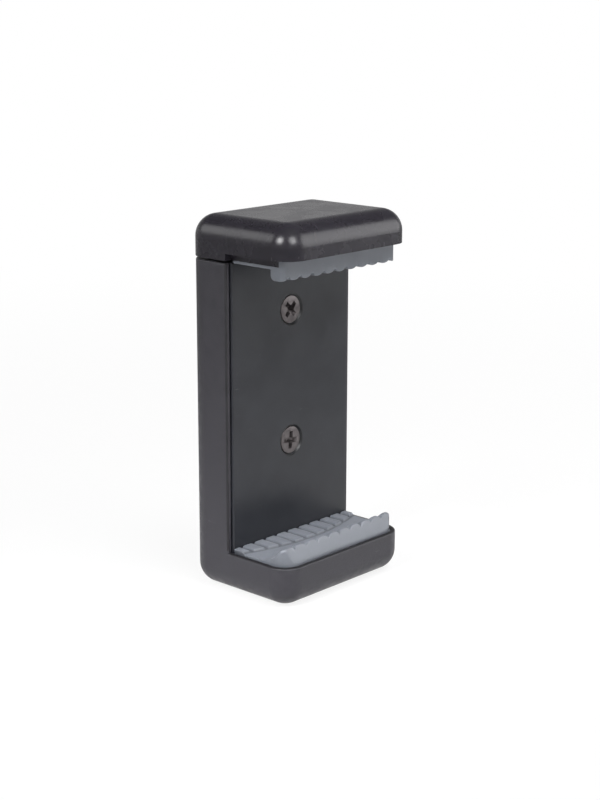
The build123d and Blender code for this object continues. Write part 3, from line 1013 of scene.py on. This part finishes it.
@dataclass
class CrossScrew:
    """Countersunk screw with a cross recess, in the front plate."""

    name: str
    height: float
    turn_degrees: float
    plate_y: float = 2.2
    head_drop: float = 0.2
    around: int = 96
    sharp_degrees: float = 28.0
    # Radius and depth, from the middle of the head to the tip.
    profile: tuple[Point, ...] = (
        (0.05, 0.0), (2.8, 0.0), (2.97, 0.05), (3.05, 0.16), (3.05, 0.22), (1.45, 1.82),
        (1.45, 2.2), (1.25, 2.25), (1.25, 6.6), (0.3, 7.8), (0.05, 7.8),
    )
    # Depth, reach and half width of the recess's wings.
    recess: tuple[Triple, ...] = (
        (-0.2, 2.02, 0.54), (0.0, 1.98, 0.52), (0.9, 1.5, 0.36), (1.3, 0.62, 0.2),
    )
    recess_corner: float = 1.25

    def build(self) -> Object:
        """Builds the screw and sets it in the plate.

        Returns:
            The screw as one closed mesh.
        """
        angles = ring(self.around)
        rows = [
            [Vector((radius * math.cos(a), depth, radius * math.sin(a))) for a in angles]
            for radius, depth in self.profile
        ]
        made = Shell().loft(rows).make(self.name, self.sharp_degrees)
        made = combine(made, self._recess(), Solid.CUT, self.sharp_degrees)
        place = Matrix.Translation(Vector((0, self.plate_y + self.head_drop, self.height)) * MM)
        made.data.transform(place @ Matrix.Rotation(math.radians(self.turn_degrees), 4, "Y"))
        return made

    def _recess(self) -> Object:
        """Builds the cross that is cut into the head.

        Returns:
            The cross, which tapers inwards.
        """
        rows = []
        for depth, reach, half in self.recess:
            corner = half * self.recess_corner
            row = []
            for turn in ring(4):
                c, s = math.cos(turn), math.sin(turn)
                for x, z in ((reach, -half), (reach, half), (corner, half)):
                    row.append(Vector((x * c - z * s, depth, x * s + z * c)))
            rows.append(row)
        return Shell().loft(rows).make("screw_recess")


@dataclass
class TripodThread:
    """Brass insert with a real quarter-inch thread in its bore and a knurled outside."""

    name: str = "tripod_thread_insert"
    outer_radius: float = 4.75
    length: float = 6.4
    minor_radius: float = 2.55
    thread_depth: float = 0.62
    pitch: float = 1.27
    flank_slope: float = 2.6
    crest_share: float = 0.15
    lead_in: float = 0.4
    knurls: int = 32
    knurl_depth: float = 0.12
    waist_depth: float = 0.5
    waist_half: float = 0.75
    end_depth: float = 0.14
    end_length: float = 0.35
    step_width: float = 0.02
    around: int = 96
    bore_rows: int = 80
    sharp_degrees: float = 30.0

    def bore(self, angle: float, height: float) -> float:
        """Radius of the bore's wall.

        Args:
            angle: angle round the axis, in radians.
            height: height above the mouth.

        Returns:
            The radius there.
        """
        place = (height / self.pitch - angle / (2 * math.pi)) % 1.0
        flank = (0.5 - abs(place - 0.5)) * self.flank_slope - self.crest_share
        groove = min(1.0, max(0.0, flank))
        mouth = max(0.0, self.lead_in - min(height, self.length - height))
        return self.minor_radius + max(mouth, self.thread_depth * groove)

    def outside(self, angle: float, height: float) -> float:
        """Radius of the outside, with its waist and straight knurls.

        Args:
            angle: angle round the axis, in radians.
            height: height above the mouth.

        Returns:
            The radius there.
        """
        if abs(height - self.length / 2) < self.waist_half:
            return self.outer_radius - self.waist_depth
        if min(height, self.length - height) < self.end_length:
            return self.outer_radius - self.end_depth
        return self.outer_radius - self.knurl_depth * (0.5 + 0.5 * math.cos(angle * self.knurls))

    def build(self) -> Object:
        """Builds the insert.

        Returns:
            The insert as one closed mesh.
        """
        inner = steps(self.length, 0, self.bore_rows)
        ends = (self.end_length, self.length - self.end_length)
        waist = (self.length / 2 - self.waist_half, self.length / 2 + self.waist_half)
        step = self.step_width / 2
        shoulders = [z + side for z in sorted((*ends, *waist)) for side in (-step, step)]
        rows = []
        for angle in ring(self.around):
            wall = [(self.bore(angle, z), z) for z in inner]
            wall += [(self.outside(angle, z), z) for z in (0.0, *shoulders, self.length)]
            rows.append([Vector((*polar(radius, angle), z)) for radius, z in wall])
        return Shell().loft(rows, wrap=True).make(self.name, self.sharp_degrees)


@dataclass
class Spring:
    """Extension spring between a post of the body and one of the jaw."""

    name: str
    x: float
    y: float = 9.45
    low_z: float = 13.5
    high_z: float = 41.0
    coil_radius: float = 2.1
    wire_radius: float = 0.3
    hook_radius: float = 1.6
    hook_reach: float = 2.2
    hook_arc: float = 260.0
    hook_steps: int = 26
    turns: int = 24
    turn_steps: int = 20
    wire_sides: int = 10
    sharp_degrees: float = 60.0

    def hook(self, post_z: float, start: float, end: float) -> list[Vector]:
        """Returns the centre line of a hook round a post, from a start to an end in degrees."""
        bend = arc((0.0, post_z), self.hook_radius, start, end, self.hook_steps)
        return [Vector((x, 0, z)) for x, z in bend]

    def path(self) -> list[Vector]:
        """Centre line of the wire.

        Returns:
            Its points from hook to hook.
        """
        points = self.hook(self.low_z, -self.hook_arc, 0)
        coil_low, coil_high = self.low_z + self.hook_reach, self.high_z - self.hook_reach
        for share in steps(0.0, 1.0, self.turns * self.turn_steps):
            angle = 2 * math.pi * self.turns * share
            z = coil_low + (coil_high - coil_low) * share
            points.append(Vector((*polar(self.coil_radius, angle), z)))
        points += self.hook(self.high_z, 0, self.hook_arc)
        return [point + Vector((self.x, self.y, 0)) for point in points]

    def build(self) -> Object:
        """Builds the wire along its centre line.

        Returns:
            The wire as one closed mesh.
        """
        path = self.path()
        rows = []
        side = Vector((0, 1, 0))
        for index, point in enumerate(path):
            ahead = path[min(index + 1, len(path) - 1)] - path[max(index - 1, 0)]
            ahead.normalize()
            side = (side - ahead * side.dot(ahead)).normalized()
            across = ahead.cross(side)
            rim = [side * math.cos(a) + across * math.sin(a) for a in ring(self.wire_sides)]
            rows.append([point + off * self.wire_radius for off in rim])
        return Shell().loft(rows).make(self.name, self.sharp_degrees)


# --- studio


@dataclass(frozen=True)
class Lamp:
    """One soft light: a disk, or a spot where it has a cone."""

    name: str
    place: Triple
    size: float
    watts: float
    mirrored: bool = True
    lights: bool = True
    cone_degrees: float = 0.0


@dataclass
class Studio:
    """Camera, pale floor and soft light."""

    camera_place: Triple = (-0.25458, -0.23512, 0.12935)
    heading_degrees: float = 47.32
    down_degrees: float = 14.41
    roll_degrees: float = 0.12
    lens: float = 73.54
    sensor: float = 36.0
    clip_start: float = 0.01
    aim: Triple = (0.0, 0.0, 0.04)
    foot: Triple = (-0.02, 0.0, -0.01)
    floor_radii_mm: tuple[float, ...] = (60, 500, 4000, 40000)
    floor_drop_mm: float = 0.05
    floor_colours: tuple[Colour, Colour] = ((0.90, 0.90, 0.90, 1), (0.93, 0.93, 0.93, 1))
    floor_glow: float = 0.86
    glow_mm: Span = (90.0, 420.0)
    far_floor: float = 0.4
    far_floor_mm: Span = (100.0, 190.0)
    far_backdrop: float = 0.5
    backdrop_heights: Span = (0.05, 0.38)
    horizon_light: float = 0.33
    zenith_light: float = 0.1
    room_heights: Span = (0.1, 0.75)
    lamps: tuple[Lamp, ...] = (
        Lamp("key_light", (0.05, -0.44, 0.88), 0.8, 11.2, mirrored=False),
        Lamp("right_box", (0.72, -0.57, 0.29), 0.75, 4.2, lights=False),
        Lamp("left_box", (-0.55, 0.63, 0.49), 0.5, 1.7, lights=False),
        Lamp("front_box", (-0.18, -0.77, 0.53), 0.5, 7.0, lights=False),
        Lamp("side_box", (-0.78, -0.12, 0.53), 0.42, 9.0, lights=False),
        Lamp("foot_spot", (-0.43, -0.04, 0.41), 0.1, 16.5, mirrored=False, cone_degrees=14.0),
    )

    def build(self) -> None:
        """Sets up camera, floor, lamps and world."""
        self._camera()
        self._floor()
        self._lamps()
        self._world()
        bpy.context.scene.view_settings.view_transform = "Standard"

    def _camera(self) -> None:
        """Places the camera at the photograph's viewing angle."""
        data = bpy.data.cameras.new("camera")
        data.lens = self.lens
        data.sensor_width = self.sensor
        data.clip_start = self.clip_start
        camera = add_object("camera", data)
        heading, down = math.radians(self.heading_degrees), math.radians(self.down_degrees)
        level = math.cos(down)
        ahead = Vector((math.sin(heading) * level, math.cos(heading) * level, -math.sin(down)))
        turn = ahead.to_track_quat("-Z", "Y").to_matrix().to_4x4()
        roll = Matrix.Rotation(math.radians(self.roll_degrees), 4, "Z")
        camera.matrix_world = Matrix.Translation(self.camera_place) @ turn @ roll
        bpy.context.scene.camera = camera

    def _floor(self) -> None:
        """Makes the plain pale floor: one sheet that reaches beyond the picture's upper edge.

        Camera and transmission rays see it shaded near the object and white further out. Glossy
        rays see it white near the object and dimmer further out.
        """
        rows = [
            [Vector((*polar(radius, angle), 0)) for angle in ring(96)]
            for radius in self.floor_radii_mm
        ]
        floor = Shell().loft(rows, capped=False).make("floor")
        floor.location.z = -self.floor_drop_mm * MM
        material = bpy.data.materials.new("pale_floor")
        material.use_nodes = True
        sheet = NodeSheet(material.node_tree)
        place = sheet.place_in_mm()
        colour = sheet.blend(sheet.noise(place, scale=0.01), *self.floor_colours)
        reach = sheet.length(place)
        glow = sheet.between(reach, self.glow_mm, self.floor_glow, 1.0)
        far = sheet.between(reach, self.far_floor_mm, 0.0, 1.0 - self.far_floor)
        seen, glossy = sheet.rays()
        share = sheet.math("MAXIMUM", sheet.product(seen, glow), glossy)
        strength = sheet.math("SUBTRACT", 1.0, sheet.product(glossy, far))
        matte = sheet.add("ShaderNodeBsdfDiffuse", Color=colour)
        white = sheet.add("ShaderNodeEmission", Color=WHITE, Strength=strength)
        mixed = sheet.mix_shaders(share, matte, white)
        sheet.add("ShaderNodeOutputMaterial", Surface=mixed)
        dress(floor, material)

    def _lamps(self) -> None:
        """Hangs the soft lights: the disks turned to the object, the spot to its foot."""
        for lamp in self.lamps:
            data = bpy.data.lights.new(lamp.name, "SPOT" if lamp.cone_degrees else "AREA")
            if lamp.cone_degrees:
                data.spot_size = math.radians(lamp.cone_degrees)
                data.spot_blend = 1.0
                data.shadow_soft_size = lamp.size / 2
            else:
                data.shape = "DISK"
                data.size = lamp.size
            data.energy = lamp.watts
            aim = self.foot if lamp.cone_degrees else self.aim
            made = add_object(lamp.name, data)
            made.location = lamp.place
            made.visible_glossy = lamp.mirrored
            made.visible_diffuse = lamp.lights
            made.rotation_mode = "QUATERNION"
            made.rotation_quaternion = (Vector(aim) - Vector(lamp.place)).to_track_quat("-Z", "Y")

    def _world(self) -> None:
        """Lights the room softly; it shows white, and reflections see it dimmer overhead."""
        world = bpy.data.worlds.new("studio")
        bpy.context.scene.world = world
        world.use_nodes = True
        sheet = NodeSheet(world.node_tree)
        height = sheet.axes(sheet.add("ShaderNodeTexCoord").outputs["Generated"])["Z"]
        level = sheet.between(height, self.room_heights, self.horizon_light, self.zenith_light)
        backdrop = sheet.between(height, self.backdrop_heights, self.far_backdrop, 0.0)
        seen, glossy = sheet.rays()
        share = sheet.math("MAXIMUM", seen, sheet.product(glossy, backdrop))
        room = sheet.add("ShaderNodeBackground", Color=WHITE, Strength=level)
        white = sheet.add("ShaderNodeBackground", Color=WHITE, Strength=1.0)
        sheet.add("ShaderNodeOutputWorld", Surface=sheet.mix_shaders(share, room, white))


# --- the whole clamp


@dataclass
class PhoneClamp:
    """The dressed clamp: kept solids in their finishes and the pieces that replace the rest."""

    effects: SurfaceEffects
    screw_turns: tuple[float, float] = (45, 6)
    spring_x: float = 9.5

    def dress_mouldings(self) -> None:
        """Gives the three plastic mouldings their finishes."""
        nodes = ("rear_body", "front_plate", "upper_jaw")
        for node, finish in zip(nodes, (BODY_PLASTIC, PLATE_PLASTIC, CAP_PLASTIC)):
            dress(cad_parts[node], finish.build(self.effects))
            LOG.info("%s keeps its solid", node)

    def fit_pads(self) -> None:
        """Builds both rubber pads."""
        rubber = PAD_RUBBER.build(self.effects)
        install(LowerPad().build(), "lower_pad", Body.BODY, rubber)
        install(UpperPad().build(), "upper_pad", Body.JAW, rubber)

    def fit_metal(self) -> None:
        """Builds the screws and the threaded insert."""
        steel = SCREW_STEEL.build(self.effects)
        names = ("front_screw_upper", "front_screw_lower")
        for name, height, turn in zip(names, SCREW_HEIGHTS, self.screw_turns):
            screw = CrossScrew(name + "_steel", height, turn).build()
            install(screw, name, Body.BODY, steel)
        brass = INSERT_BRASS.build(self.effects)
        install(TripodThread().build(), "tripod_insert", Body.BODY, brass)

    def fit_springs(self) -> None:
        """Builds the springs."""
        wire = SPRING_STEEL.build(self.effects)
        for name, x in (("spring_left", -self.spring_x), ("spring_right", self.spring_x)):
            spring = Spring(name + "_wire", x)
            made = spring.build()
            dress(made, wire)
            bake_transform(made)
            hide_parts(name)
            LOG.info("%s stretches between the bodies", made.name)


def main() -> None:
    """Builds the dressed clamp and its studio."""
    logging.basicConfig(level=logging.INFO, format="%(message)s")
    Studio().build()
    clamp = PhoneClamp(SurfaceEffects.build())
    clamp.dress_mouldings()
    clamp.fit_pads()
    clamp.fit_metal()
    clamp.fit_springs()


if __name__ == "__main__":
    main()
